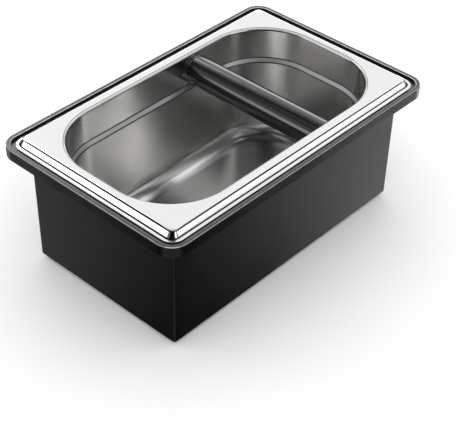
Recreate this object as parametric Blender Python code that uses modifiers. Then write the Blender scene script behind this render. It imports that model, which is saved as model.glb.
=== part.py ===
"""Espresso knock box: a black moulded box with a drop-in steel pan and a rubber-covered knock bar.

Units are metres, +Z is up and +X runs along the long side. The origin is on the plane that the
feet stand on, under the middle of the box. Run with: blender --background --python part.py
"""

import math

import bmesh
import bpy

MM = 0.001

# ---- driving dimensions ------------------------------------------------------------------------
PIECE_GAP = 0.3 * MM          # gap between pieces that touch on the real object

FOOT_PROUD = 3.5 * MM         # how far the feet lift the box
BOX_HEIGHT = 103.9 * MM       # box underside to the top of its rim
PAN_ABOVE_RIM = 3.4 * MM      # the pan's top face stands above the box rim

PAN_TOP = FOOT_PROUD + BOX_HEIGHT + PAN_ABOVE_RIM
PAN_DEPTH = 100.0 * MM
PAN_SHEET = 0.8 * MM
PAN_LIP = (265.0 * MM, 162.0 * MM, 10.0 * MM)          # length, width, corner radius
PAN_SKIRT = (259.3 * MM, 156.0 * MM, 6.5 * MM)
PAN_FOLD = (253.4 * MM, 151.2 * MM, 4.0 * MM)
PAN_LIP_DROP = 4.9 * MM
PAN_MOUTH = (243.4 * MM, 139.2 * MM, 52.0 * MM)        # where the top face starts to bend down
PAN_BEND = 2.4 * MM
PAN_SHOULDER_TOP = 27.0 * MM                           # below the top face
PAN_SHOULDER_HEIGHT = 3.2 * MM
PAN_SHOULDER_STEP = 2.8 * MM
PAN_DRAFT = 2.4 * MM                                   # the lower wall leans in by this much
PAN_FILLET = 15.5 * MM

RIM_OUTER = (277.8 * MM, 174.2 * MM, 14.0 * MM)
RIM_LIP = 3.4 * MM
RIM_HEIGHT = 9.2 * MM
RIM_EDGE = 0.9 * MM           # rounding of the rim's top outer edge
LEDGE_SHEET = 2.5 * MM
SKIRT_SHEET = 2.5 * MM
BODY_TOP = (245.0 * MM, 143.8 * MM, 2.0 * MM)
BODY_BOTTOM = (243.4 * MM, 142.2 * MM, 2.0 * MM)
BODY_EDGE = 0.8 * MM
BOX_WALL = 1.8 * MM
BOX_FLOOR = 2.5 * MM

BAR_X = 42.5 * MM             # the bar stands nearer the +X end
BAR_DROP = 15.9 * MM          # bar axis below the pan's top face
SLEEVE_RADIUS = 12.2 * MM
SLEEVE_BORE = 6.4 * MM
SLEEVE_LENGTH = 129.8 * MM
SLEEVE_EDGE = 0.8 * MM
CORE_RADIUS = 6.0 * MM
WASHER_SHEET = 1.6 * MM
WASHER_RADIUS = 12.0 * MM
WASHER_CHAMFER = 0.3 * MM
WASHER_INSET = 0.1 * MM       # the washer's face stands inside the core's end by this much
BAR_SCREW_RADIUS = 2.9 * MM
BAR_SCREW_REACH = 16.0 * MM
TAP_BEYOND_SCREW = 2.0 * MM   # the tapped hole runs on past the screw's end
TURNED_CHAMFER = 0.5 * MM     # on the core's ends and on the bar screws
BAR_SCREW_HEAD = (6.5 * MM, 1.2 * MM)                  # radius, height
BAR_SCREW_SOCKET = (2.3 * MM, 2.5 * MM)                # corner radius, depth
SCREW_CLEARANCE = 0.4 * MM

FOOT_PLACE = (105.0 * MM, 55.0 * MM)
FOOT_RADIUS = 10.0 * MM
FOOT_RECESS = 1.0 * MM        # depth of the seat in the box underside
FOOT_WEB = 1.1 * MM           # rubber left over the screw recess
FOOT_TOE = 0.6 * MM           # rounding where the foot meets the worktop
FOOT_WASHER = (4.6 * MM, 0.8 * MM)
FOOT_SCREW_RADIUS = 1.7 * MM
FOOT_SCREW_HEAD = (3.4 * MM, 1.2 * MM)
FOOT_SCREW_CROWN = 0.75       # the head's flat, as a share of its radius
FOOT_SCREW_SHORT = 1.8 * MM   # the screw ends this far below the boss top
BOSS = (4.6 * MM, 10.0 * MM)
BOSS_CAP = 1.2 * MM           # plastic left over the screw's pilot hole

# ---- how finely round shapes are cut into facets ------------------------------------------------
BOX_CORNER_STEPS = 6          # per corner
PAN_CORNER_STEPS = 9
SLEEVE_STEPS = 48             # per turn, here and below
CORE_STEPS = 36
BAR_WASHER_STEPS = 32
BAR_SCREW_STEPS = 24
BAR_HOLE_STEPS = 24
SOCKET_SIDES = 6
FOOT_STEPS = 24
FOOT_WASHER_STEPS = 20
FOOT_SCREW_STEPS = 16
BOSS_STEPS = 20

NAME = "knock_box"
FACET_SMOOTH = math.radians(35)


# ---- collections, materials and small helpers --------------------------------------------------
def clear_scene():
    for thing in list(bpy.data.objects):
        bpy.data.objects.remove(thing, do_unlink=True)


def new_collection(name):
    collection = bpy.data.collections.new(name)
    bpy.context.scene.collection.children.link(collection)
    return collection


def material(name, colour, roughness, metallic=0.0):
    made = bpy.data.materials.new(name)
    made.use_nodes = True
    shader = made.node_tree.nodes["Principled BSDF"]
    shader.inputs["Base Color"].default_value = (*colour, 1.0)
    shader.inputs["Roughness"].default_value = roughness
    shader.inputs["Metallic"].default_value = metallic
    made.diffuse_color = (*colour, 1.0)
    return made


def place(mesh, name, collection, finish=None, parent=None, location=(0, 0, 0)):
    """Link a mesh as one named object, shaded smooth with its hard edges kept."""
    thing = bpy.data.objects.new(name, mesh)
    collection.objects.link(thing)
    thing.location = location
    thing.parent = parent
    if finish is not None:
        mesh.materials.append(finish)
        mesh.shade_smooth()
        mesh.set_sharp_from_angle(angle=FACET_SMOOTH)
    return thing


def joint_empty(name, collection, location, parent=None):
    empty = bpy.data.objects.new(name, None)
    collection.objects.link(empty)
    empty.location = location
    empty.parent = parent
    return empty


def cutter(thing):
    thing.hide_render = True
    thing.display_type = "WIRE"
    return thing


def boolean(target, tool, operation):
    step = target.modifiers.new(operation.lower() + "_" + tool.name, "BOOLEAN")
    step.operation = operation
    step.object = tool
    step.solver = "EXACT"


# ---- shapes ------------------------------------------------------------------------------------
def grown(outline, amount):
    """A rounded rectangle (length, width, corner radius) offset outwards by amount."""
    length, width, radius = outline
    return (length + 2 * amount, width + 2 * amount, max(radius + amount, 0.2 * MM))


def rounded_rectangle(outline, z, corner_steps):
    length, width, radius = outline
    points = []
    for quarter, (side_x, side_y) in enumerate(((1, 1), (-1, 1), (-1, -1), (1, -1))):
        centre_x = side_x * (length / 2 - radius)
        centre_y = side_y * (width / 2 - radius)
        for step in range(corner_steps + 1):
            angle = (quarter + step / corner_steps) * math.pi / 2
            points.append((centre_x + radius * math.cos(angle), centre_y + radius * math.sin(angle), z))
    return points


def loft(name, rings, corner_steps, cap_start=False, cap_end=False):
    """A skin through rounded rectangles, each given as (outline, height)."""
    mesh = bpy.data.meshes.new(name)
    work = bmesh.new()
    loops = []
    for outline, z in rings:
        loops.append([work.verts.new(point) for point in rounded_rectangle(outline, z, corner_steps)])
    for lower, upper in zip(loops, loops[1:]):
        for index in range(len(lower)):
            after = (index + 1) % len(lower)
            work.faces.new((lower[index], lower[after], upper[after], upper[index]))
    if cap_start:
        work.faces.new(list(reversed(loops[0])))
    if cap_end:
        work.faces.new(loops[-1])
    work.to_mesh(mesh)
    work.free()
    return mesh


def turned(name, profile, steps, collection, finish=None, ring=False):
    """Turn a (radius, height) profile about Z. It runs down its outer side, top to bottom.

    A ring's profile closes on itself; any other profile starts and ends on the axis.
    """
    mesh = bpy.data.meshes.new(name)
    vertices = [(radius, 0, z) for radius, z in profile]
    edges = [(index, index + 1) for index in range(len(profile) - 1)]
    if ring:
        edges.append((len(profile) - 1, 0))
    mesh.from_pydata(vertices, edges, [])
    thing = bpy.data.objects.new(name, mesh)
    collection.objects.link(thing)
    screw = thing.modifiers.new("turn", "SCREW")
    screw.steps = steps
    screw.render_steps = steps
    screw.use_merge_vertices = True
    screw.merge_threshold = 0.01 * MM
    screw.use_smooth_shade = True
    if finish is not None:
        mesh.materials.append(finish)
    return thing


def put(thing, location=(0, 0, 0), parent=None, rotation=(0, 0, 0)):
    thing.location = location
    thing.rotation_euler = rotation
    thing.parent = parent
    return thing


def quarter_round(centre_radius, centre_z, size, from_angle, steps=3):
    """Points of a 90 degree edge rounding, turning clockwise (down the outer side)."""
    points = []
    for step in range(steps + 1):
        angle = from_angle - step / steps * math.pi / 2
        points.append((centre_radius + size * math.cos(angle), centre_z + size * math.sin(angle)))
    return points


# ---- the box -----------------------------------------------------------------------------------
def body_outline(z):
    """The body's outer outline at a height, between its bottom and the rim's underside."""
    share = (z - FOOT_PROUD) / (BOX_HEIGHT - RIM_HEIGHT)
    return tuple(low + share * (high - low) for low, high in zip(BODY_BOTTOM, BODY_TOP))


def make_outer_box(parts, cutters, finish):
    floor_top = FOOT_PROUD + BOX_FLOOR
    rim_top = FOOT_PROUD + BOX_HEIGHT
    rim_bottom = rim_top - RIM_HEIGHT
    ledge_top = PAN_TOP - PAN_LIP_DROP - PAN_SHEET - PIECE_GAP
    ledge_bottom = ledge_top - LEDGE_SHEET
    skirt_inner = grown(RIM_OUTER, -SKIRT_SHEET)
    pocket = grown(RIM_OUTER, -RIM_LIP)
    rings = [
        (grown(BODY_BOTTOM, -BODY_EDGE), FOOT_PROUD),
        (BODY_BOTTOM, FOOT_PROUD + BODY_EDGE),
        (body_outline(ledge_bottom), ledge_bottom),
        (skirt_inner, ledge_bottom),
        (skirt_inner, rim_bottom),
        (RIM_OUTER, rim_bottom),
        (RIM_OUTER, rim_top - RIM_EDGE),
    ]
    for degrees in (30, 60, 90):
        angle = math.radians(degrees)
        inset = RIM_EDGE * (1 - math.cos(angle))
        rings.append((grown(RIM_OUTER, -inset), rim_top - RIM_EDGE * (1 - math.sin(angle))))
    rings += [
        (pocket, rim_top),
        (pocket, ledge_top),
        (grown(body_outline(ledge_top), -BOX_WALL), ledge_top),
        (grown(body_outline(floor_top), -BOX_WALL), floor_top),
    ]
    mesh = loft("outer_box", rings, corner_steps=BOX_CORNER_STEPS, cap_start=True, cap_end=True)
    box = place(mesh, "outer_box", parts, finish)
    seat_ceiling = FOOT_PROUD + FOOT_RECESS
    boss_radius, boss_height = BOSS
    boss_profile = [
        (0, floor_top + boss_height),
        (boss_radius, floor_top + boss_height),
        (boss_radius, floor_top - BOX_FLOOR / 2),
        (0, floor_top - BOX_FLOOR / 2),
    ]
    pilot_radius = FOOT_SCREW_RADIUS + SCREW_CLEARANCE
    seat_radius = FOOT_RADIUS + SCREW_CLEARANCE
    pilot_top = floor_top + boss_height - BOSS_CAP
    seat_profile = [
        (0, pilot_top),
        (pilot_radius, pilot_top),
        (pilot_radius, seat_ceiling),
        (seat_radius, seat_ceiling),
        (seat_radius, -FOOT_PROUD),
        (0, -FOOT_PROUD),
    ]
    for label, x, y in foot_places():
        boss = cutter(turned("boss_" + label, boss_profile, BOSS_STEPS, cutters))
        boolean(box, put(boss, (x, y, 0)), "UNION")
        seat = cutter(turned("seat_" + label, seat_profile, FOOT_STEPS, cutters))
        boolean(box, put(seat, (x, y, 0)), "DIFFERENCE")


# ---- the feet ----------------------------------------------------------------------------------
def foot_places():
    x, y = FOOT_PLACE
    return (("front_left", -x, -y), ("front_right", x, -y), ("rear_left", -x, y), ("rear_right", x, y))


def make_feet(parts, rubber, steel):
    foot_top = FOOT_PROUD + FOOT_RECESS - PIECE_GAP
    recess_ceiling = foot_top - FOOT_WEB
    washer_radius, washer_sheet = FOOT_WASHER
    washer_top = recess_ceiling - PIECE_GAP
    head_radius, head_height = FOOT_SCREW_HEAD
    head_top = washer_top - washer_sheet - PIECE_GAP
    hole = FOOT_SCREW_RADIUS + SCREW_CLEARANCE
    recess = washer_radius + SCREW_CLEARANCE
    foot_profile = [
        (hole, foot_top),
        (FOOT_RADIUS, foot_top),
        (FOOT_RADIUS, FOOT_PROUD - PIECE_GAP),
        *quarter_round(FOOT_RADIUS - 2 * FOOT_TOE, FOOT_TOE, FOOT_TOE, 0),
        (recess, 0),
        (recess, recess_ceiling),
        (hole, recess_ceiling),
    ]
    washer_profile = [
        (hole, washer_top),
        (washer_radius, washer_top),
        (washer_radius, washer_top - washer_sheet),
        (hole, washer_top - washer_sheet),
    ]
    boss_top = FOOT_PROUD + BOX_FLOOR + BOSS[1]
    shank_end = boss_top - FOOT_SCREW_SHORT
    screw_profile = [
        (0, shank_end),
        (FOOT_SCREW_RADIUS, shank_end),
        (FOOT_SCREW_RADIUS, head_top),
        (head_radius, head_top),
        (head_radius, head_top - head_height / 2),
        (head_radius * FOOT_SCREW_CROWN, head_top - head_height),
        (0, head_top - head_height),
    ]
    for label, x, y in foot_places():
        put(turned("foot_" + label, foot_profile, FOOT_STEPS, parts, rubber, ring=True), (x, y, 0))
        washer = turned("foot_washer_" + label, washer_profile, FOOT_WASHER_STEPS, parts, steel, ring=True)
        put(washer, (x, y, 0))
        put(turned("foot_screw_" + label, screw_profile, FOOT_SCREW_STEPS, parts, steel), (x, y, 0))


# ---- the pan -----------------------------------------------------------------------------------
def make_pan(parts, cutters, lift, finish):
    """An open skin of the pan's upper face, from lip to floor, thickened downwards."""
    rings = [
        (PAN_LIP, -PAN_LIP_DROP),
        (PAN_SKIRT, -PAN_LIP_DROP),
        (PAN_FOLD, 0),
    ]
    for degrees in (0, 30, 60, 90):
        angle = math.radians(degrees)
        inset = PAN_BEND * math.sin(angle)
        rings.append((grown(PAN_MOUTH, -inset), -PAN_BEND * (1 - math.cos(angle))))
    upper_wall = grown(PAN_MOUTH, -PAN_BEND)
    for share in (0, 0.25, 0.5, 0.75, 1):
        drop = PAN_SHOULDER_TOP + PAN_SHOULDER_HEIGHT * share
        ease = share * share * (3 - 2 * share)
        rings.append((grown(upper_wall, -PAN_SHOULDER_STEP * ease), -drop))
    lower_wall = grown(upper_wall, -PAN_SHOULDER_STEP)
    floor_inner = -(PAN_DEPTH - PAN_SHEET)
    foot_of_wall = grown(lower_wall, -PAN_DRAFT)
    for degrees in (0, 18, 36, 54, 72, 90):
        angle = math.radians(degrees)
        inset = PAN_FILLET * (1 - math.cos(angle))
        rings.append((grown(foot_of_wall, -inset), floor_inner + PAN_FILLET * (1 - math.sin(angle))))
    mesh = loft("pan", rings, corner_steps=PAN_CORNER_STEPS, cap_end=True)
    pan = place(mesh, "pan", parts, finish, lift)
    sheet = pan.modifiers.new("sheet", "SOLIDIFY")
    sheet.thickness = PAN_SHEET
    sheet.offset = -1
    sheet.use_even_offset = True
    hole = BAR_SCREW_RADIUS + SCREW_CLEARANCE
    reach = PAN_MOUTH[1]
    profile = [(0, reach), (hole, reach), (hole, -reach), (0, -reach)]
    drill = cutter(turned("bar_holes", profile, BAR_HOLE_STEPS, cutters))
    put(drill, (BAR_X, 0, -BAR_DROP), lift, (math.radians(-90), 0, 0))
    boolean(pan, drill, "DIFFERENCE")


# ---- the knock bar -----------------------------------------------------------------------------
def make_bar(parts, cutters, lift, rubber, steel):
    """The bar's pieces are turned about local Z, which the bar's empties lay along Y."""
    axis = joint_empty("bar_axis", parts, (BAR_X, 0, -BAR_DROP), lift)
    axis.rotation_euler = (math.radians(-90), 0, 0)
    wall = PAN_MOUTH[1] / 2 - PAN_BEND
    core_end = wall - PIECE_GAP
    half = SLEEVE_LENGTH / 2
    edge = SLEEVE_EDGE
    sleeve_profile = [
        (SLEEVE_BORE, half),
        *quarter_round(SLEEVE_RADIUS - edge, half - edge, edge, math.pi / 2),
        *quarter_round(SLEEVE_RADIUS - edge, edge - half, edge, 0),
        (SLEEVE_BORE, -half),
    ]
    put(turned("bar_sleeve", sleeve_profile, SLEEVE_STEPS, parts, rubber, ring=True), parent=axis)
    tap_radius = BAR_SCREW_RADIUS + SCREW_CLEARANCE
    tap_depth = BAR_SCREW_REACH + TAP_BEYOND_SCREW
    nose = TURNED_CHAMFER
    core_profile = [
        (0, core_end - tap_depth),
        (tap_radius, core_end - tap_depth),
        (tap_radius, core_end),
        (CORE_RADIUS - nose, core_end),
        (CORE_RADIUS, core_end - nose),
    ]
    core_profile += [(radius, -z) for radius, z in reversed(core_profile)]
    put(turned("bar_core", core_profile, CORE_STEPS, parts, steel), parent=axis)
    washer_outer = core_end - WASHER_INSET
    chamfer = WASHER_CHAMFER
    washer_profile = [
        (SLEEVE_BORE, washer_outer),
        (WASHER_RADIUS - chamfer, washer_outer),
        (WASHER_RADIUS, washer_outer - chamfer),
        (WASHER_RADIUS, washer_outer - WASHER_SHEET + chamfer),
        (WASHER_RADIUS - chamfer, washer_outer - WASHER_SHEET),
        (SLEEVE_BORE, washer_outer - WASHER_SHEET),
    ]
    head_radius, head_height = BAR_SCREW_HEAD
    head_under = wall + PAN_SHEET + PIECE_GAP
    head_top = head_under + head_height
    shank_end = core_end - BAR_SCREW_REACH
    screw_profile = [
        (0, head_top),
        (head_radius - nose, head_top),
        (head_radius, head_top - nose),
        (head_radius, head_under),
        (BAR_SCREW_RADIUS, head_under),
        (BAR_SCREW_RADIUS, shank_end + nose),
        (BAR_SCREW_RADIUS - nose, shank_end),
        (0, shank_end),
    ]
    socket_radius, socket_depth = BAR_SCREW_SOCKET
    socket_profile = [
        (0, head_top + socket_depth),
        (socket_radius, head_top + socket_depth),
        (socket_radius, head_top - socket_depth),
        (0, head_top - socket_depth),
    ]
    for label, turn in (("rear", 0), ("front", math.pi)):
        end = joint_empty("bar_end_" + label, parts, (0, 0, 0), axis)
        end.rotation_euler = (turn, 0, 0)
        washer = turned("bar_washer_" + label, washer_profile, BAR_WASHER_STEPS, parts, steel, ring=True)
        put(washer, parent=end)
        screw = put(turned("bar_screw_" + label, screw_profile, BAR_SCREW_STEPS, parts, steel), parent=end)
        socket = cutter(turned("socket_" + label, socket_profile, SOCKET_SIDES, cutters))
        boolean(screw, put(socket, parent=end), "DIFFERENCE")


def main():
    clear_scene()
    parts = new_collection(NAME)
    cutters = new_collection(NAME + "_cutters")
    black_abs = material("black_abs", (0.03, 0.03, 0.032), 0.5)
    stainless = material("stainless", (0.62, 0.61, 0.59), 0.28, 1.0)
    bar_rubber = material("bar_rubber", (0.015, 0.015, 0.016), 0.35)
    foot_rubber = material("foot_rubber", (0.02, 0.02, 0.02), 0.7)
    bar_steel = material("bar_steel", (0.7, 0.7, 0.7), 0.22, 1.0)
    zinc = material("zinc", (0.6, 0.6, 0.62), 0.35, 1.0)
    lift = joint_empty("pan_lift", parts, (0, 0, PAN_TOP))
    make_outer_box(parts, cutters, black_abs)
    make_feet(parts, foot_rubber, zinc)
    make_pan(parts, cutters, lift, stainless)
    make_bar(parts, cutters, lift, bar_rubber, bar_steel)


main()
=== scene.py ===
"""Looks of the espresso knock box: fine meshes, finishes, studio and camera around the CAD frame.

Units are metres in the CAD frame: +Z up, +X along the long side, origin under the middle of the box.
"""

import math

import bmesh
import bpy
from mathutils import Matrix, Quaternion, Vector


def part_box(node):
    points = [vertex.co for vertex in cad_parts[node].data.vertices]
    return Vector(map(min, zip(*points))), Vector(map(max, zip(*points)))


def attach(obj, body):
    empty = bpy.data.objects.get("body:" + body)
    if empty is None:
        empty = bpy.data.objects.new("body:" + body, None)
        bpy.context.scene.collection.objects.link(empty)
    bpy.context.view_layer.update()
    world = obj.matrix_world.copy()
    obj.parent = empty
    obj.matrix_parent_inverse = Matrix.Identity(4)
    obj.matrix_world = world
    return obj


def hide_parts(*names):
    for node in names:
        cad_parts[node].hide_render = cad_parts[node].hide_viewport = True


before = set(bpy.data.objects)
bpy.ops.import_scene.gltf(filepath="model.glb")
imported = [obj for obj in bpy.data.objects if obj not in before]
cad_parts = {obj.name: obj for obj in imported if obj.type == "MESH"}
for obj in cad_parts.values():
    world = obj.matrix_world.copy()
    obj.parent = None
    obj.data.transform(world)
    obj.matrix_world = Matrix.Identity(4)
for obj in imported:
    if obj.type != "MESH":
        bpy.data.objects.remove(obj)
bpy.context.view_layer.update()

MM = 0.001

# ---- places that the CAD frame gives --------------------------------------------------------------
PAN_LOW, PAN_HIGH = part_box("pan")
BOX_LOW, BOX_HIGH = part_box("outer_box")
SLEEVE_LOW, SLEEVE_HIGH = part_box("bar_sleeve")
BAR_CENTRE = (SLEEVE_LOW + SLEEVE_HIGH) / 2
PAN_TOP = PAN_HIGH.z
RIM_TOP = BOX_HIGH.z

# ---- the pan's pressed shape, as (length, width, corner radius) outlines and depths ---------------
PAN_SHEET = 0.8 * MM
PAN_LIP = (PAN_HIGH.x - PAN_LOW.x, PAN_HIGH.y - PAN_LOW.y, 10.0 * MM)
PAN_SKIRT = (PAN_LIP[0] - 5.7 * MM, PAN_LIP[1] - 6.0 * MM, 6.5 * MM)
PAN_FOLD = (PAN_LIP[0] - 11.6 * MM, PAN_LIP[1] - 10.8 * MM, 4.0 * MM)
PAN_MOUTH = (PAN_LIP[0] - 21.6 * MM, PAN_LIP[1] - 22.8 * MM, 52.0 * MM)
PAN_LIP_DROP = 4.9 * MM
PAN_LIP_BEND = 1.8 * MM
PAN_FOLD_BEND = 1.8 * MM
PAN_MOUTH_BEND = 2.4 * MM
PAN_SHOULDER_DROP = (27.0 * MM, 30.2 * MM)
PAN_SHOULDER_STEP = 2.8 * MM
PAN_SHOULDER_BEND = 1.9 * MM
PAN_DRAFT = 2.4 * MM
PAN_FILLET = 15.5 * MM
BAR_HOLE = 3.3 * MM             # radius of the hole that the bar's screw passes through

# ---- the box's moulded shape ----------------------------------------------------------------------
RIM_OUTER = (BOX_HIGH.x - BOX_LOW.x, BOX_HIGH.y - BOX_LOW.y, 14.0 * MM)
RIM_LIP = 3.4 * MM
RIM_HEIGHT = 9.2 * MM
RIM_EDGE = 0.9 * MM
RIM_INNER_EDGE = 0.8 * MM
RIM_LOWER_EDGE = 0.5 * MM
LEDGE_GAP = 0.3 * MM            # between the ledge and the pan's lip
LEDGE_TOP = PAN_TOP - PAN_LIP_DROP - PAN_SHEET - LEDGE_GAP
LEDGE_SHEET = 2.5 * MM
SKIRT_SHEET = 2.5 * MM
BODY_TOP = (245.0 * MM, 143.8 * MM, 2.0 * MM)
BODY_BOTTOM = (243.4 * MM, 142.2 * MM, 2.0 * MM)
BODY_EDGE = 0.8 * MM
BODY_EDGE_STEP = 15             # degrees of the lower edge's arc from one ring to the next
BOX_WALL = 1.8 * MM
BOX_FLOOR = 2.5 * MM

# ---- how fine the meshes are ----------------------------------------------------------------------
CORNER_STEPS = 20
ARC_STEPS = (4, 18)             # per right angle of a fillet: on the smallest and on the largest
FINE_TURN = 96                  # facets round a turned piece
SMALL_TURN = FINE_TURN // 2
SHARP_ANGLE = math.radians(40)
FLAT_FACE_WEIGHT = 80           # how far large flat faces rule the shading, of 100
TINY = 1e-9


# ---- places ---------------------------------------------------------------------------------------
def middle_of(node):
    low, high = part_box(node)
    return (low + high) / 2


def under(place):
    """The point of the floor straight below a place."""
    return Vector((place.x, place.y, 0))


# ---- outlines and profiles ------------------------------------------------------------------------
def grown(outline, amount):
    """The (length, width, corner radius) outline moved outwards by amount."""
    length, width, radius = outline
    return (length + 2 * amount, width + 2 * amount, max(radius + amount, 0.2 * MM))


def between(first, second, share):
    """The outline that lies share of the way from the first to the second."""
    return tuple(a + share * (b - a) for a, b in zip(first, second))


def rounded_rectangle(outline, z):
    """The outline's points at a height, anticlockwise from the +X side."""
    length, width, radius = outline
    points = []
    for quarter, (side_x, side_y) in enumerate(((1, 1), (-1, 1), (-1, -1), (1, -1))):
        centre_x = side_x * (length / 2 - radius)
        centre_y = side_y * (width / 2 - radius)
        for step in range(CORNER_STEPS + 1):
            angle = (quarter + step / CORNER_STEPS) * math.pi / 2
            points.append((centre_x + radius * math.cos(angle), centre_y + radius * math.sin(angle), z))
    return points


def filleted(corners):
    """A profile through (across, up, radius) corners, all but the two ends rounded by their radius."""
    points = [Vector(corners[0][:2])]
    for before, corner, after in zip(corners, corners[1:], corners[2:]):
        here = Vector(corner[:2])
        back = (Vector(before[:2]) - here).normalized()
        ahead = (Vector(after[:2]) - here).normalized()
        opening = back.angle(ahead)
        turn = math.pi - opening
        if corner[2] == 0 or turn < TINY:
            points.append(here)
            continue
        reach = corner[2] / math.tan(opening / 2)
        centre = here + (back + ahead).normalized() * corner[2] / math.sin(opening / 2)
        start = here + back * reach - centre
        side = -1 if back.cross(ahead) > 0 else 1
        fine = min(ARC_STEPS[1], ARC_STEPS[0] + 2 * corner[2] / MM)
        steps = max(3, round(fine * turn / (math.pi / 2)))
        for step in range(steps + 1):
            angle = side * turn * step / steps
            points.append(centre + Vector((
                start.x * math.cos(angle) - start.y * math.sin(angle),
                start.x * math.sin(angle) + start.y * math.cos(angle),
            )))
    points.append(Vector(corners[-1][:2]))
    return points


def moved_aside(points, distance):
    """The profile shifted to its right-hand side by distance."""
    shifted = []
    for index, point in enumerate(points):
        before = points[max(index - 1, 0)]
        after = points[min(index + 1, len(points) - 1)]
        first = (point - before).normalized() if index else (after - point).normalized()
        second = (after - point).normalized() if index < len(points) - 1 else first
        along = (first + second).normalized()
        stretch = 1 / max(along.dot(first), 0.5)
        shifted.append(point + Vector((along.y, -along.x)) * distance * stretch)
    return shifted


# ---- meshes ---------------------------------------------------------------------------------------
def finished(name, mesh, finish, body, nodes):
    """Make the mesh a piece: shaded, finished, standing for its CAD nodes and riding on their body."""
    mesh.materials.append(finish)
    mesh.shade_smooth()
    mesh.set_sharp_from_angle(angle=SHARP_ANGLE)
    piece = bpy.data.objects.new(name, mesh)
    bpy.context.scene.collection.objects.link(piece)
    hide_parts(*nodes)
    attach(piece, body)
    keep_flats_even(piece)


def keep_flats_even(piece):
    """Large flat faces keep their own normals, so that reflections stay straight on them."""
    weighted = piece.modifiers.new("even_shading", "WEIGHTED_NORMAL")
    weighted.keep_sharp = True
    weighted.weight = FLAT_FACE_WEIGHT


def loft(name, rings):
    """A closed skin through rounded rectangles, each (outline, height), with both ends capped."""
    mesh = bpy.data.meshes.new(name)
    work = bmesh.new()
    loops = [[work.verts.new(point) for point in rounded_rectangle(outline, z)] for outline, z in rings]
    for lower, upper in zip(loops, loops[1:]):
        for index in range(len(lower)):
            after = (index + 1) % len(lower)
            work.faces.new((lower[index], lower[after], upper[after], upper[index]))
    work.faces.new(list(reversed(loops[0])))
    work.faces.new(loops[-1])
    return facing_out(work, mesh)


def facing_out(work, mesh):
    """Write the closed skin to the mesh with its faces turned outwards."""
    if work.calc_volume(signed=True) < 0:
        bmesh.ops.reverse_faces(work, faces=work.faces)
    work.to_mesh(mesh)
    work.free()
    return mesh


def cut(mesh, tool, operation="DIFFERENCE"):
    """The mesh with the tool cut from it, or joined to it."""
    body = bpy.data.objects.new("cut_body", mesh)
    cutter = bpy.data.objects.new("cut_tool", tool)
    for thing in (body, cutter):
        bpy.context.scene.collection.objects.link(thing)
    step = body.modifiers.new("cut", "BOOLEAN")
    step.operation = operation
    step.object = cutter
    step.solver = "EXACT"
    bpy.context.view_layer.update()
    made = bpy.data.meshes.new_from_object(body.evaluated_get(bpy.context.evaluated_depsgraph_get()))
    for thing in (body, cutter):
        bpy.data.objects.remove(thing)
    return made


LAID_ALONG = {                  # the turns that lay the Z axis along each of these
    "Z": Matrix(((1, 0, 0), (0, 1, 0), (0, 0, 1))),
    "Y": Matrix(((1, 0, 0), (0, 0, 1), (0, -1, 0))),
    "-Y": Matrix(((1, 0, 0), (0, 0, -1), (0, 1, 0))),
}


def turned(name, corners, steps, centre, along="Z"):
    """A closed profile of (radius, height, rounding) corners turned about an axis through centre.

    Along Z the profile's heights run up; along Y or -Y they run that way. A profile that starts and
    ends on the axis makes a solid piece, and one that ends where it starts makes a ring.
    """
    profile = [tuple(point) for point in filleted(corners)]
    if profile[0] == profile[-1]:
        profile.pop()
    mesh = bpy.data.meshes.new(name)
    work = bmesh.new()
    loops = []
    for radius, height in profile:
        if radius < TINY:
            loops.append([work.verts.new((0, 0, height))] * steps)
            continue
        loop = []
        for step in range(steps):
            angle = 2 * math.pi * step / steps
            loop.append(work.verts.new((radius * math.cos(angle), radius * math.sin(angle), height)))
        loops.append(loop)
    pairs = list(zip(loops, loops[1:]))
    if all(radius > TINY for radius, _ in profile):
        pairs.append((loops[-1], loops[0]))
    for first, second in pairs:
        for step in range(steps):
            after = (step + 1) % steps
            around = (first[step], first[after], second[after], second[step])
            face = list(dict.fromkeys(around))
            if len(face) > 2:
                work.faces.new(face)
    for vertex in work.verts:
        vertex.co = LAID_ALONG[along] @ vertex.co + Vector(centre)
    return facing_out(work, mesh)


# ---- node helpers ---------------------------------------------------------------------------------
NOISE_SPAN = (0.3, 0.7)         # the part of a noise's range that it mostly keeps to
LINE_CORE = 0.4                 # share of a line's half width that has its full strength


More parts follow.
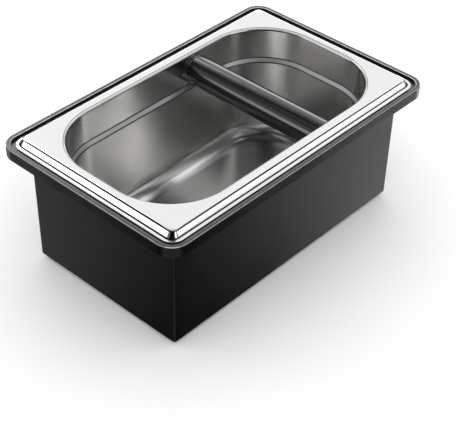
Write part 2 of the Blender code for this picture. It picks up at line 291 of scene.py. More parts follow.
class Nodes:
    """A material's node tree, with one call for each kind of step that the finishes use.

    Scales of noises and cells are in repeats per metre.
    """

    def __init__(self, name):
        self.material = bpy.data.materials.new(name)
        self.material.use_nodes = True
        self.tree = self.material.node_tree
        self.shader = self.tree.nodes["Principled BSDF"]
        self.place = self.add("ShaderNodeTexCoord").outputs["Object"]

    def add(self, kind, **settings):
        node = self.tree.nodes.new(kind)
        for key, value in settings.items():
            setattr(node, key, value)
        return node

    def join(self, source, target):
        """Link an output to the target, or give the target a plain value."""
        if hasattr(source, "is_output"):
            self.tree.links.new(source, target)
        else:
            target.default_value = source

    def set(self, **inputs):
        """Set the shader's inputs, named with _ for a space."""
        for name, value in inputs.items():
            self.join(value, self.shader.inputs[name.replace("_", " ")])

    # arithmetic
    def math(self, operation, first, second=0.0):
        node = self.add("ShaderNodeMath", operation=operation)
        for value, socket in zip((first, second), node.inputs):
            self.join(value, socket)
        return node.outputs[0]

    def plus(self, first, second):
        return self.math("ADD", first, second)

    def minus(self, first, second):
        return self.math("SUBTRACT", first, second)

    def times(self, first, second):
        return self.math("MULTIPLY", first, second)

    def largest(self, first, *others):
        for other in others:
            first = self.math("MAXIMUM", first, other)
        return first

    def apart(self, vector):
        """The vector's x, y and z."""
        node = self.add("ShaderNodeSeparateXYZ")
        self.join(vector, node.inputs[0])
        return node.outputs

    # ranges and masks
    def spread(self, value, low, high, out_low, out_high):
        """The value's range from low to high laid on out_low to out_high, level beyond them."""
        node = self.add("ShaderNodeMapRange", clamp=True)
        self.join(value, node.inputs["Value"])
        ends = {"From Min": low, "From Max": high, "To Min": out_low, "To Max": out_high}
        for name, number in ends.items():
            node.inputs[name].default_value = number
        return node.outputs["Result"]

    def rise(self, value, low, high):
        """0 below low, 1 above high."""
        return self.spread(value, low, high, 0.0, 1.0)

    def fall(self, value, low, high):
        """1 below low, 0 above high."""
        return self.spread(value, low, high, 1.0, 0.0)

    def vary(self, noise, low, high):
        """A noise laid on low to high."""
        return self.spread(noise, *NOISE_SPAN, low, high)

    def line(self, value, middle, half, strength=1.0):
        """strength where the value is at the middle, falling to 0 at half away from it."""
        away = self.math("ABSOLUTE", self.minus(value, middle))
        return self.spread(away, LINE_CORE * half, half, strength, 0.0)

    def beyond(self, length, width):
        """How far a point is outside the centred length x width rectangle, negative inside it."""
        x, y, _ = self.apart(self.place)
        over_x = self.minus(self.math("ABSOLUTE", x), length / 2)
        over_y = self.minus(self.math("ABSOLUTE", y), width / 2)
        return self.largest(over_x, over_y)

    def edge(self, radius):
        """0 on flat faces and up to 1 on edges that are tighter than radius."""
        rounded = self.add("ShaderNodeBevel", samples=4)
        rounded.inputs["Radius"].default_value = radius
        plain = self.add("ShaderNodeNewGeometry").outputs["Normal"]
        turn = self.add("ShaderNodeVectorMath", operation="DOT_PRODUCT")
        self.join(rounded.outputs[0], turn.inputs[0])
        self.join(plain, turn.inputs[1])
        return self.spread(turn.outputs["Value"], 0.995, 0.85, 0.0, 1.0)

    # mixes
    def blend(self, share, first, second):
        """A colour from the first to the second as share goes from 0 to 1."""
        node = self.add("ShaderNodeMix", data_type="RGBA")
        self.join(share, node.inputs["Factor"])
        for value, name in ((first, "A"), (second, "B")):
            socket = next(s for s in node.inputs if s.name == name and s.type == "RGBA")
            self.join(value if hasattr(value, "is_output") else (*value, 1.0), socket)
        return next(s for s in node.outputs if s.type == "RGBA")

    def mixed(self, share, first, second):
        """A number from the first to the second as share goes from 0 to 1."""
        node = self.add("ShaderNodeMix", data_type="FLOAT")
        for value, index in ((share, 0), (first, 2), (second, 3)):
            self.join(value, node.inputs[index])
        return node.outputs[0]

    # patterns
    def stretched(self, scale):
        node = self.add("ShaderNodeMapping")
        self.join(self.place, node.inputs["Vector"])
        node.inputs["Scale"].default_value = scale
        return node.outputs[0]

    def noise(self, scale, detail=3.0, roughness=0.5, vector=None):
        node = self.add("ShaderNodeTexNoise")
        self.join(vector or self.place, node.inputs["Vector"])
        node.inputs["Scale"].default_value = scale
        node.inputs["Detail"].default_value = detail
        node.inputs["Roughness"].default_value = roughness
        return node.outputs["Fac"]

    def cells(self, scale, feature="SMOOTH_F1"):
        node = self.add("ShaderNodeTexVoronoi", feature=feature)
        self.join(self.place, node.inputs["Vector"])
        node.inputs["Scale"].default_value = scale
        return node.outputs["Distance"]

    def bump(self, height, strength, distance):
        node = self.add("ShaderNodeBump")
        self.join(height, node.inputs["Height"])
        self.join(strength, node.inputs["Strength"])
        node.inputs["Distance"].default_value = distance
        return node.outputs["Normal"]


# ---- finishes: colours are (red, green, blue), in pairs that a noise blends between ----------------
STEEL = ((0.665, 0.654, 0.636), (0.69, 0.683, 0.67))
# colour of the painted shade in the sheet's tight bends
STEEL_CREASE_SHADE = (0.02, 0.019, 0.018)
FOLD_SHADE = 1.0                 # how far the flange's folds go to the painted shade colour
SHOULDER_SHADE = 0.85            # the same for the shoulder's bends
MOUTH_SHADE = 0.85               # and for the edges of the bend at the mouth
SHOULDER_LINE = 0.65 * MM       # half width of the painted shade line along each bend of the shoulder
SHOULDER_BAND = 2.4 * MM        # half width of the duller band between those lines
SHOULDER_SATIN = 0.2            # how far the band scatters light instead of mirroring it
FLANGE_START = 2 * MM           # the flange's own bends lie outside this far within its fold
POLISHED_DEPTH = (2.5 * MM, 9 * MM)           # where the flange's polish ends in brushed walls
BRUSHED = (0.2, 0.24)           # roughness of the pan inside
POLISHED = (0.07, 0.1)          # roughness of the flange
LIP_DEPTH = (1.5 * MM, 2 * MM)                # where the bend at the mouth ends

PLASTIC = ((0.003, 0.003, 0.0032), (0.0045, 0.0045, 0.0047))
# light colour of the painted highlight on the rim's edges, also a faint wear on other edges
PLASTIC_HIGHLIGHT_AND_WEAR = (0.85, 0.85, 0.86)
OUTER_HIGHLIGHT_SHARE = 0.35               # painted highlight on the rim's outer edge, as a share of its inner edge's
OTHER_EDGES_LIGHTER = 0.035          # share for the box's other edges, a faint lightening that is partly wear, partly painted highlight
LIGHTER_EDGE_RADIUS = 0.8 * MM
RIM_HIGHLIGHT_DEPTH = (0.8 * MM, 1.2 * MM)             # how far down from the rim's top its edges carry the painted highlight

RUBBER = ((0.004, 0.004, 0.004), (0.008, 0.0078, 0.0075))
FOOT_RUBBER = ((0.016, 0.016, 0.016), (0.028, 0.027, 0.026))
TURNED_STEEL = ((0.27, 0.265, 0.26), (0.36, 0.355, 0.35))
ZINC = ((0.55, 0.56, 0.58), (0.68, 0.68, 0.67))


def satin_steel():
    """Pressed stainless sheet: brushed inside, brighter on the flange, with painted shade in its sharp
    creases.
    """
    nodes = Nodes("satin_steel")
    geometry = nodes.add("ShaderNodeNewGeometry")
    tilt = nodes.apart(geometry.outputs["Normal"])[2]
    depth = nodes.minus(PAN_TOP, nodes.apart(nodes.place)[2])
    polished = nodes.fall(depth, *POLISHED_DEPTH)
    cloud = nodes.noise(24, 4.0, 0.5)
    grain = sheet_grain(nodes, geometry)
    outwards = nodes.beyond(PAN_FOLD[0] - 2 * FLANGE_START, PAN_FOLD[1] - 2 * FLANGE_START)
    flange = nodes.rise(outwards, 0.0, 0.5 * MM)
    mouth = nodes.fall(depth, *LIP_DEPTH)
    shoulder = nodes.line(depth, sum(PAN_SHOULDER_DROP) / 2, SHOULDER_BAND)

    colour = nodes.blend(cloud, *STEEL)
    # painted shade: the tight bends are darkened towards the crease shade colour
    colour = nodes.blend(painted_crease_shade(nodes, tilt, depth, flange, mouth), colour, STEEL_CREASE_SHADE)
    inside = nodes.plus(nodes.vary(grain, *BRUSHED), nodes.vary(cloud, -0.006, 0.006))
    inside = nodes.plus(inside, nodes.times(shoulder, 0.1))
    outer = nodes.plus(nodes.vary(grain, *POLISHED), nodes.spread(tilt, 0.6, 0.95, 0.07, 0.0))
    lip = nodes.times(nodes.times(nodes.rise(tilt, 0.45, 0.93), nodes.fall(tilt, 0.93, 0.97)), mouth)
    satin = nodes.largest(nodes.times(shoulder, SHOULDER_SATIN), nodes.mixed(flange, lip, 0.0))
    nodes.set(Base_Color=colour, Metallic=nodes.minus(1.0, satin),
              Roughness=nodes.mixed(polished, inside, outer),
              Normal=nodes.bump(grain, nodes.mixed(polished, 0.12, 0.03), 0.01 * MM))
    return nodes.material


def sheet_grain(nodes, geometry):
    """Brush lines that run level round the walls and along the length of the flat faces."""
    wall_grain = nodes.noise(1.0, 2.0, 0.6, nodes.stretched((30, 30, 5000)))
    flat_grain = nodes.noise(1.0, 2.0, 0.6, nodes.stretched((30, 5000, 30)))
    facing_up = nodes.math("ABSOLUTE", nodes.apart(geometry.outputs["True Normal"])[2])
    return nodes.mixed(nodes.rise(facing_up, 0.6, 0.8), wall_grain, flat_grain)


def painted_crease_shade(nodes, tilt, depth, flange, mouth):
    """How much painted shade lies in the sheet's tight bends: the flange's folds, the mouth's edges, the
    shoulder.
    """
    bend = nodes.times(nodes.fall(tilt, 0.95, 0.995), nodes.rise(tilt, 0.53, 0.62))
    brink = nodes.largest(nodes.line(tilt, 0.95, 0.05, MOUTH_SHADE),
                          nodes.line(tilt, 0.3, 0.16, MOUTH_SHADE))
    folds = nodes.mixed(flange, nodes.times(brink, mouth), nodes.times(bend, FOLD_SHADE))
    steps = [nodes.line(depth, drop, SHOULDER_LINE, SHOULDER_SHADE) for drop in PAN_SHOULDER_DROP]
    return nodes.largest(folds, *steps)


def moulded_plastic():
    """Black ABS: a pebbled body under a smoother rim, whose edges carry a painted highlight."""
    nodes = Nodes("moulded_plastic")
    pebbles = nodes.cells(1500)
    height = nodes.plus(pebbles, nodes.times(nodes.noise(5200, 2.0, 0.6), 0.35))
    cloud = nodes.noise(22, 5.0, 0.6)
    up = nodes.apart(nodes.place)[2]
    rim_bottom = RIM_TOP - RIM_HEIGHT
    rim = nodes.rise(up, rim_bottom - 0.4 * MM, rim_bottom + 0.2 * MM)
    # painted highlight: the edge mask blends the black towards the light edge colour
    colour = nodes.blend(rim_highlight_and_wear(nodes, up), nodes.blend(cloud, *PLASTIC), PLASTIC_HIGHLIGHT_AND_WEAR)
    body = nodes.plus(nodes.spread(pebbles, 0.1, 0.7, 0.27, 0.35), nodes.vary(cloud, -0.02, 0.02))
    nodes.set(Base_Color=colour, Roughness=nodes.mixed(rim, body, nodes.vary(cloud, 0.22, 0.28)),
              Specular_IOR_Level=0.7,
              Normal=nodes.bump(height, nodes.mixed(rim, 0.35, 0.15), 0.1 * MM))
    return nodes.material


def rim_highlight_and_wear(nodes, up):
    """How far the plastic is lightened: a painted highlight most on the rim's inner top edge, least on
    the body's edges, where it is partly wear.
    """
    tilt = nodes.apart(nodes.add("ShaderNodeNewGeometry").outputs["Normal"])[2]
    top = nodes.rise(up, RIM_TOP - RIM_HIGHLIGHT_DEPTH[1], RIM_TOP - RIM_HIGHLIGHT_DEPTH[0])
    # painted highlight along the rim's rounded top edges
    rim_highlight = nodes.times(nodes.line(tilt, 0.65, 0.33), top)
    outwards = nodes.beyond(RIM_OUTER[0] - RIM_LIP, RIM_OUTER[1] - RIM_LIP)
    rim_highlight = nodes.times(rim_highlight, nodes.spread(outwards, -0.2 * MM, 0.2 * MM, 1.0, OUTER_HIGHLIGHT_SHARE))
    other_edges = nodes.times(nodes.edge(LIGHTER_EDGE_RADIUS), OTHER_EDGES_LIGHTER)
    patchiness = nodes.spread(nodes.noise(160, 4.0), 0.35, 0.7, 0.6, 1.0)
    return nodes.times(nodes.largest(rim_highlight, other_edges), patchiness)


def sleeve_rubber():
    """Dense smooth rubber with faint turning rings and a patchy bloom in its tone and gloss."""
    nodes = Nodes("sleeve_rubber")
    rings = nodes.noise(1.0, 2.0, 0.5, nodes.stretched((40, 2600, 40)))
    bloom = nodes.noise(55, 5.0, 0.6)
    skin = nodes.noise(2600, 2.0, 0.5)
    height = nodes.plus(nodes.times(rings, 0.3), nodes.times(skin, 0.7))
    nodes.set(Base_Color=nodes.blend(bloom, *RUBBER), Roughness=nodes.vary(bloom, 0.15, 0.21),
              Specular_IOR_Level=0.9, Normal=nodes.bump(height, 0.06, 0.01 * MM))
    return nodes.material


def foot_rubber():
    """Matt soft rubber with a fine open grain."""
    nodes = Nodes("foot_rubber")
    grain = nodes.noise(1900, 3.0, 0.6)
    nodes.set(Base_Color=nodes.blend(nodes.noise(140, 4.0), *FOOT_RUBBER),
              Roughness=nodes.vary(grain, 0.62, 0.8), Normal=nodes.bump(grain, 0.3, 0.08 * MM))
    return nodes.material


def turned_steel():
    """Dark bright-faced steel from a lathe: fine rings about the bar's axis."""
    nodes = Nodes("turned_steel")
    x, y, z = nodes.apart(nodes.place)
    across = nodes.math("POWER", nodes.minus(x, BAR_CENTRE.x), 2.0)
    up = nodes.math("POWER", nodes.minus(z, BAR_CENTRE.z), 2.0)
    spot = nodes.add("ShaderNodeCombineXYZ")
    nodes.join(nodes.math("SQRT", nodes.plus(across, up)), spot.inputs[0])
    nodes.join(nodes.times(y, 0.4), spot.inputs[1])
    rings = nodes.noise(6000, 2.0, 0.6, spot.outputs[0])
    nodes.set(Base_Color=nodes.blend(nodes.noise(120, 4.0), *TURNED_STEEL), Metallic=1.0,
              Roughness=nodes.vary(rings, 0.18, 0.32), Normal=nodes.bump(rings, 0.2, 0.01 * MM))
    return nodes.material


def zinc_plate():
    """Zinc-plated steel with a fine spangle."""
    nodes = Nodes("zinc_plate")
    spangle = nodes.cells(900, "F1")
    nodes.set(Base_Color=nodes.blend(nodes.noise(300, 4.0), *ZINC), Metallic=1.0,
              Roughness=nodes.spread(spangle, 0.0, 0.6, 0.28, 0.42),
              Normal=nodes.bump(nodes.noise(4000, 2.0), 0.15, 0.02 * MM))
    return nodes.material


# ---- the pan --------------------------------------------------------------------------------------
def pan_outline(across):
    """The outline at a distance outwards from the flange's fold, measured along X."""
    skirt = (PAN_SKIRT[0] - PAN_FOLD[0]) / 2
    lip = (PAN_LIP[0] - PAN_FOLD[0]) / 2
    mouth = (PAN_MOUTH[0] - PAN_FOLD[0]) / 2
    if across >= skirt:
        return between(PAN_SKIRT, PAN_LIP, (across - skirt) / (lip - skirt))
    if across >= 0:
        return between(PAN_FOLD, PAN_SKIRT, across / skirt)
    if across >= mouth:
        return between(PAN_FOLD, PAN_MOUTH, across / mouth)
    return grown(PAN_MOUTH, across - mouth)


def make_pan(steel):
    """The upper side's profile runs from the lip up over the flange and down to the floor."""
    lip = (PAN_LIP[0] - PAN_FOLD[0]) / 2
    skirt = (PAN_SKIRT[0] - PAN_FOLD[0]) / 2
    wall = (PAN_MOUTH[0] - PAN_FOLD[0]) / 2 - PAN_MOUTH_BEND
    lower_wall = wall - PAN_SHOULDER_STEP
    depth = PAN_HIGH.z - PAN_LOW.z - PAN_SHEET
    lean = PAN_DRAFT / (depth - PAN_FILLET - PAN_SHOULDER_DROP[1])
    toe = lower_wall - lean * (depth - PAN_SHOULDER_DROP[1])
    corners = [
        (lip, -PAN_LIP_DROP, 0),
        (skirt, -PAN_LIP_DROP, PAN_LIP_BEND),
        (0, 0, PAN_FOLD_BEND),
        (wall, 0, PAN_MOUTH_BEND),
        (wall, -PAN_SHOULDER_DROP[0], PAN_SHOULDER_BEND),
        (lower_wall, -PAN_SHOULDER_DROP[1], PAN_SHOULDER_BEND),
        (toe, -depth, PAN_FILLET),
        (toe - 2 * PAN_FILLET, -depth, 0),
    ]
    upper = filleted(corners)
    lower = moved_aside(upper, -PAN_SHEET)
    rings = [(pan_outline(point.x), PAN_TOP + point.y) for point in reversed(upper)]
    for point, below in zip(upper, lower):
        rings.append((grown(pan_outline(point.x), below.x - point.x), PAN_TOP + below.y))
    mesh = loft("steel_pan", rings)
    reach = PAN_MOUTH[1]
    drill = [(0, reach, 0), (BAR_HOLE, reach, 0), (BAR_HOLE, -reach, 0), (0, -reach, 0)]
    mesh = cut(mesh, turned("drill", drill, SMALL_TURN, BAR_CENTRE, "Y"))
    finished("steel_pan", mesh, steel, "pan_unit", ["pan"])


# ---- the box --------------------------------------------------------------------------------------
def body_outline(z):
    """The tapered body's outline at a height."""
    share = (z - BOX_LOW.z) / (RIM_TOP - RIM_HEIGHT - BOX_LOW.z)
    return between(BODY_BOTTOM, BODY_TOP, share)


def make_box(plastic):
    """Rings run from the underside out, up over the rim, and down inside to the floor."""
    rim_bottom = RIM_TOP - RIM_HEIGHT
    ledge_bottom = LEDGE_TOP - LEDGE_SHEET
    floor_top = BOX_LOW.z + BOX_FLOOR
    rings = []
    for degrees in range(0, 91, BODY_EDGE_STEP):
        angle = math.radians(degrees)
        inset = BODY_EDGE * (1 - math.sin(angle))
        rings.append((grown(BODY_BOTTOM, -inset), BOX_LOW.z + BODY_EDGE * (1 - math.cos(angle))))
    rings.append((body_outline(ledge_bottom), ledge_bottom))
    rim_corners = [
        (-SKIRT_SHEET, ledge_bottom, 0),
        (-SKIRT_SHEET, rim_bottom, 0),
        (0, rim_bottom, RIM_LOWER_EDGE),
        (0, RIM_TOP, RIM_EDGE),
        (-RIM_LIP, RIM_TOP, RIM_INNER_EDGE),
        (-RIM_LIP, LEDGE_TOP, 0),
    ]
    rings += [(grown(RIM_OUTER, point.x), point.y) for point in filleted(rim_corners)]
    rings.append((grown(body_outline(LEDGE_TOP), -BOX_WALL), LEDGE_TOP))
    rings.append((grown(body_outline(floor_top), -BOX_WALL), floor_top))
    mesh = loft("moulded_box", rings)
    for label in FOOT_LABELS:
        spot = under(middle_of("foot_" + label))
        mesh = cut(mesh, turned("boss_tool", boss_corners(floor_top), SMALL_TURN, spot), "UNION")
        mesh = cut(mesh, turned("seat_tool", seat_corners(floor_top), FINE_TURN, spot))
    finished("moulded_box", mesh, plastic, "box", ["outer_box"])


def boss_corners(floor_top):
    """The moulded post inside the box that takes a foot's screw."""
    radius, height = BOSS
    return [
        (0, floor_top + height, 0),
        (radius, floor_top + height, BOSS_EDGE),
        (radius, floor_top - BOX_FLOOR / 2, 0),
        (0, floor_top - BOX_FLOOR / 2, 0),
    ]


def seat_corners(floor_top):
    """The foot's seat in the underside and the screw's pilot hole above it."""
    radius, depth = FOOT_SEAT
    pilot_top = floor_top + BOSS[1] - BOSS_CAP
    return [
        (0, pilot_top, 0),
        (BOSS_PILOT, pilot_top, 0),
        (BOSS_PILOT, BOX_LOW.z + depth, 0),
        (radius, BOX_LOW.z + depth, 0),
        (radius, -BOX_LOW.z, 0),
        (0, -BOX_LOW.z, 0),
    ]


# ---- the knock bar --------------------------------------------------------------------------------
SLEEVE_BORE = 6.4 * MM
SLEEVE_EDGES = (0.3 * MM, 0.8 * MM)           # at the bore, at the outside
WASHER_BORE = 6.4 * MM
WASHER_EDGES = (0.15 * MM, 0.35 * MM)         # at the bore, at the rim
BAR_SCREW_HEAD = 1.2 * MM
BAR_SCREW_SHANK = 2.9 * MM
BAR_SCREW_EDGES = (0.7 * MM, 0.15 * MM, 0.2 * MM, 0.5 * MM)     # crown, under the head, neck, tip
HEX_SOCKET = (2.3 * MM, 2.5 * MM)             # corner radius, depth


def ring_corners(bore, radius, half, edges):
    """A ring's profile about its middle, with edges rounded at the bore and at the outside."""
    return [
        (bore, 0, 0),
        (bore, half, edges[0]),
        (radius, half, edges[1]),
        (radius, -half, edges[1]),
        (bore, -half, edges[0]),
        (bore, 0, 0),
    ]


def make_sleeve(rubber):
    half = (SLEEVE_HIGH.y - SLEEVE_LOW.y) / 2
    radius = (SLEEVE_HIGH.x - SLEEVE_LOW.x) / 2
    corners = ring_corners(SLEEVE_BORE, radius, half, SLEEVE_EDGES)
    mesh = turned("rubber_sleeve", corners, FINE_TURN, BAR_CENTRE, "Y")
    finished("rubber_sleeve", mesh, rubber, "sleeve", ["bar_sleeve"])


def make_bar_ends(steel):
    """At each end a faced washer and a low button-head screw with a hex socket."""
    for label, along in (("rear", "Y"), ("front", "-Y")):
        make_end_washer(label, along, steel)
        make_bar_screw(label, along, steel)


def make_end_washer(label, along, steel):
    node = "bar_washer_" + label
    low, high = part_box(node)
    corners = ring_corners(WASHER_BORE, (high.x - low.x) / 2, (high.y - low.y) / 2, WASHER_EDGES)
    mesh = turned("end_washer_" + label, corners, FINE_TURN, middle_of(node), along)
    finished(mesh.name, mesh, steel, "pan_unit", [node])


def make_bar_screw(label, along, steel):
    node = "bar_screw_" + label
    low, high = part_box(node)
    centre = middle_of(node)
    radius = (high.x - low.x) / 2
    half = (high.y - low.y) / 2
    head_under = half - BAR_SCREW_HEAD
    crown, brim, neck, tip = BAR_SCREW_EDGES
    corners = [
        (0, half, 0),
        (radius, half, crown),
        (radius, head_under, brim),
        (BAR_SCREW_SHANK, head_under, neck),
        (BAR_SCREW_SHANK, -half, tip),
        (0, -half, 0),
    ]
    mesh = turned("socket_screw_" + label, corners, SMALL_TURN, centre, along)
    reach, depth = HEX_SOCKET
    socket = [(0, depth, 0), (reach, depth, 0), (reach, -depth, 0), (0, -depth, 0)]
    head_face = centre + Vector((0, half if along == "Y" else -half, 0))
    mesh = cut(mesh, turned("socket_tool", socket, 6, head_face, along))
    finished("socket_screw_" + label, mesh, steel, "pan_unit", [node])


# ---- the feet -------------------------------------------------------------------------------------
FOOT_LABELS = ("front_left", "front_right", "rear_left", "rear_right")
FOOT_HOLE = 2.1 * MM
FOOT_RECESS = 5.0 * MM
FOOT_WEB = 1.1 * MM
FOOT_TAPER = 0.6 * MM
FOOT_SHOULDER = 0.3 * MM              # how far the foot's straight side hangs below the box
FOOT_EDGES = (0.2 * MM, 0.3 * MM, 0.5 * MM, 0.7 * MM, 0.4 * MM)     # hole, top, shoulder, toe, recess
FOOT_SEAT = (10.4 * MM, 1.0 * MM)     # radius, depth of the recess in the box underside
FOOT_SCREW_HEAD = 1.2 * MM
FOOT_SCREW_SHANK = 1.7 * MM
FOOT_SCREW_POINT = 2.5 * MM           # length of the tapered point, which halves the shank
FOOT_SCREW_EDGES = (0.5 * MM, 0.15 * MM, 0.8 * MM)                  # point, under the head, crown
FLAT_WASHER_EDGES = (0.1 * MM, 0.2 * MM)      # at the bore, at the rim
CROSS_REACH = 1.9 * MM
CROSS_WIDTH = 0.75 * MM
CROSS_DEPTH = 0.9 * MM
CROSS_TAPER = (0.45, 0.8)             # share of the reach and of the width left at the bottom
BOSS = (4.6 * MM, 10.0 * MM)          # radius, height
BOSS_EDGE = 0.4 * MM
BOSS_PILOT = 2.1 * MM
BOSS_CAP = 1.2 * MM


def make_feet(rubber, zinc):
    for label in FOOT_LABELS:
        make_foot(label, rubber)
        make_foot_screw(label, zinc)
        make_flat_washer(label, zinc)


def make_foot(label, rubber):
    """A turned foot whose top sits in the box's seat, hollowed from below for the screw's head."""
    node = "foot_" + label
    low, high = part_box(node)
    radius = (high.x - low.x) / 2
    top = high.z
    hole, rim, shoulder, toe, recess = FOOT_EDGES
    corners = [
        (FOOT_HOLE, top - FOOT_WEB / 2, 0),
        (FOOT_HOLE, top, hole),
        (radius, top, rim),
        (radius, BOX_LOW.z - FOOT_SHOULDER, shoulder),
        (radius - FOOT_TAPER, 0, toe),
        (FOOT_RECESS, 0, recess),
        (FOOT_RECESS, top - FOOT_WEB, hole),
        (FOOT_HOLE, top - FOOT_WEB, hole),
        (FOOT_HOLE, top - FOOT_WEB / 2, 0),
    ]
    mesh = turned("rubber_foot_" + label, corners, FINE_TURN, under(middle_of(node)))
    finished(mesh.name, mesh, rubber, "box", [node])


def make_foot_screw(label, zinc):
    """A pan-head screw with a cross recess, head down."""
    node = "foot_screw_" + label
    low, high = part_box(node)
    spot = under(middle_of("foot_" + label))
    radius = (high.x - low.x) / 2
    head_top = low.z + FOOT_SCREW_HEAD
    point, brim, crown = FOOT_SCREW_EDGES
    corners = [
        (0, high.z, 0),
        (FOOT_SCREW_SHANK / 2, high.z, 0),
        (FOOT_SCREW_SHANK, high.z - FOOT_SCREW_POINT, point),
        (FOOT_SCREW_SHANK, head_top, brim),
        (radius, head_top, brim),
        (radius, low.z, crown),
        (0, low.z, 0),
    ]
    mesh = turned("cross_screw_" + label, corners, SMALL_TURN, spot)
    for turn in (0, math.pi / 2):
        mesh = cut(mesh, slot_tool(spot, low.z, turn))
    finished("cross_screw_" + label, mesh, zinc, "box", [node])


def make_flat_washer(label, zinc):
    node = "foot_washer_" + label
    low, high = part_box(node)
    corners = ring_corners(FOOT_HOLE, (high.x - low.x) / 2, (high.z - low.z) / 2, FLAT_WASHER_EDGES)
    spot = under(middle_of("foot_" + label)) + Vector((0, 0, middle_of(node).z))
    mesh = turned("flat_washer_" + label, corners, SMALL_TURN, spot)
    finished(mesh.name, mesh, zinc, "box", [node])


def slot_tool(spot, face, turn):
    """One arm pair of a cross recess: a bar that tapers upwards from the screw's face."""
    mesh = bpy.data.meshes.new("slot_tool")
    work = bmesh.new()
    bmesh.ops.create_cube(work, size=1)
    for vertex in work.verts:
        deep = vertex.co.z > 0
        reach = CROSS_REACH * (CROSS_TAPER[0] if deep else 1.0)
        flank = CROSS_WIDTH * (CROSS_TAPER[1] if deep else 1.0)
        x, y = vertex.co.x * 2 * reach, vertex.co.y * flank
        vertex.co = Vector((
            spot.x + x * math.cos(turn) - y * math.sin(turn),
            spot.y + x * math.sin(turn) + y * math.cos(turn),
            face + (CROSS_DEPTH if deep else -CROSS_DEPTH),
        ))
    return facing_out(work, mesh)


def finish_cad_nodes(names, finish):
    """CAD nodes whose shape is right keep their mesh and take the finer material."""
    for name in names:
        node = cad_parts[name]
        node.data.materials.clear()
        node.data.materials.append(finish)


# ---- studio ---------------------------------------------------------------------------------------
FLOOR_HALF = 6.0
ROOM_LIGHT = 1.3
LAMP_COLOUR = (0.96, 0.98, 1.0)
LAMP_DISTANCE = 3.0
LAMPS = (
    # name, degrees left of straight behind the object, elevation, degrees wide, degrees tall, radiance
    ("back", -4, 38, 46, 24, 1.3),
    ("back_low", -2, 16, 40, 20, 3.0),
    ("back_high", 14, 55, 44, 10, 0.6),
    ("back_left", 33, 40, 28, 20, 4.0),
    ("back_right", -42, 40, 28, 22, 1.9),
    ("high_right", -45, 62, 30, 18, 1.4),
    ("high_left", 108, 58, 40, 20, 0.35),
    ("left", 104, 0, 30, 38, 2.9),
    ("left_upper", 93, 30, 60, 22, 0.55),
    ("left_side", 134, 28, 22, 20, 0.6),
    ("right", -96, -3, 30, 32, 1.7),
    ("right_upper", -84, 42, 50, 24, 0.6),
    ("right_rear", -70, -4, 20, 26, 0.8),
    ("right_front", -132, 20, 30, 20, 2.0),
    ("front_right_high", -135, 48, 40, 30, 0.15),
    ("front_high", 168, 44, 44, 24, 0.16),
    ("low_right", -55, -36, 30, 20, 1.9),
    ("low_left", 64, -38, 32, 20, 0.7),
    ("overhead", 0, 88, 40, 40, 0.05),
    ("front_fill", 180, -44, 80, 16, 0.28),
)
FLOOR_PALE = ((0.86, 0.86, 0.86), (0.9, 0.9, 0.9))


def make_floor():
    """A pale floor that takes soft shadows, but that steel and plastic don't mirror."""
    nodes = Nodes("pale_floor")
    nodes.set(Base_Color=nodes.blend(nodes.noise(6), *FLOOR_PALE), Roughness=0.9)
    mesh = bpy.data.meshes.new("floor")
    work = bmesh.new()
    bmesh.ops.create_grid(work, x_segments=8, y_segments=8, size=FLOOR_HALF)
    work.to_mesh(mesh)
    work.free()
    mesh.materials.append(nodes.material)
    floor = bpy.data.objects.new("floor", mesh)
    bpy.context.scene.collection.objects.link(floor)
    floor.visible_glossy = False


def make_room():
    """Even white light for the floor and the matt surfaces. The lamps alone show in reflections."""
    world = bpy.data.worlds.new("studio")
    bpy.context.scene.world = world
    world.use_nodes = True
    background = world.node_tree.nodes["Background"]
    background.inputs["Color"].default_value = (1, 1, 1, 1)
    background.inputs["Strength"].default_value = ROOM_LIGHT
    world.cycles_visibility.glossy = False


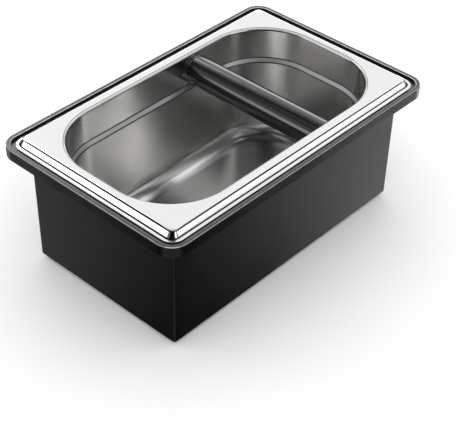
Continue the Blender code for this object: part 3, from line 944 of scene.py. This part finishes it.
def make_lamps():
    """Soft panels on a rig that follows the camera, as when a product is turned and lit for each view.

    The rig turns with the camera and tips as it rises, so the flange always mirrors the back panel.
    """
    rig = bpy.data.objects.new("lamp_rig", None)
    rig.location = (0, 0, PAN_TOP)
    bpy.context.scene.collection.objects.link(rig)
    follow = rig.constraints.new("COPY_ROTATION")
    follow.target = bpy.context.scene.camera
    follow.use_y = False
    follow.invert_x = True
    tip = bpy.data.objects.new("lamp_tip", None)
    tip.parent = rig
    tip.rotation_euler.x = math.pi / 2 - CAMERA_ELEVATION
    bpy.context.scene.collection.objects.link(tip)
    for name, left, up, wide, tall, radiance in LAMPS:
        width, height = (2 * LAMP_DISTANCE * math.tan(math.radians(angle) / 2) for angle in (wide, tall))
        light = bpy.data.lights.new(name, "AREA")
        light.shape = "RECTANGLE"
        light.size, light.size_y = width, height
        light.color = LAMP_COLOUR
        light.energy = radiance * math.pi * width * height
        lamp = bpy.data.objects.new(name, light)
        bpy.context.scene.collection.objects.link(lamp)
        turn = math.radians(left)
        rise = math.radians(up)
        level = math.cos(rise)
        outward = Vector((-math.sin(turn) * level, math.cos(turn) * level, math.sin(rise)))
        lamp.parent = tip
        lamp.location = outward * LAMP_DISTANCE
        lamp.rotation_mode = "QUATERNION"
        lamp.rotation_quaternion = (-outward).to_track_quat("-Z", "Y")
        lamp.visible_camera = False
        lamp.visible_diffuse = False


# ---- camera ---------------------------------------------------------------------------------------
CAMERA_TARGET = Vector((-86.9 * MM, -94.9 * MM, PAN_TOP))
CAMERA_DISTANCE = 862.4 * MM
CAMERA_AZIMUTH = math.radians(-48.54)
CAMERA_ELEVATION = math.radians(39.22)
CAMERA_ROLL = math.radians(1.546)
CAMERA_LENS = 99.69
CAMERA_SENSOR = 36.0


def make_camera():
    lens = bpy.data.cameras.new("camera")
    lens.lens = CAMERA_LENS
    lens.sensor_width = CAMERA_SENSOR
    camera = bpy.data.objects.new("camera", lens)
    bpy.context.scene.collection.objects.link(camera)
    back = Vector((
        math.sin(CAMERA_AZIMUTH) * math.cos(CAMERA_ELEVATION),
        -math.cos(CAMERA_AZIMUTH) * math.cos(CAMERA_ELEVATION),
        math.sin(CAMERA_ELEVATION),
    ))
    camera.location = CAMERA_TARGET + back * CAMERA_DISTANCE
    aim = (-back).to_track_quat("-Z", "Y")
    aim.rotate(Quaternion(back, CAMERA_ROLL))
    camera.rotation_mode = "QUATERNION"
    camera.rotation_quaternion = aim
    bpy.context.scene.camera = camera


def main():
    bar_steel = turned_steel()
    make_box(moulded_plastic())
    make_pan(satin_steel())
    make_sleeve(sleeve_rubber())
    make_bar_ends(bar_steel)
    finish_cad_nodes(["bar_core"], bar_steel)
    make_feet(foot_rubber(), zinc_plate())
    make_floor()
    make_room()
    make_camera()
    make_lamps()
    bpy.context.scene.view_settings.view_transform = "Standard"


main()
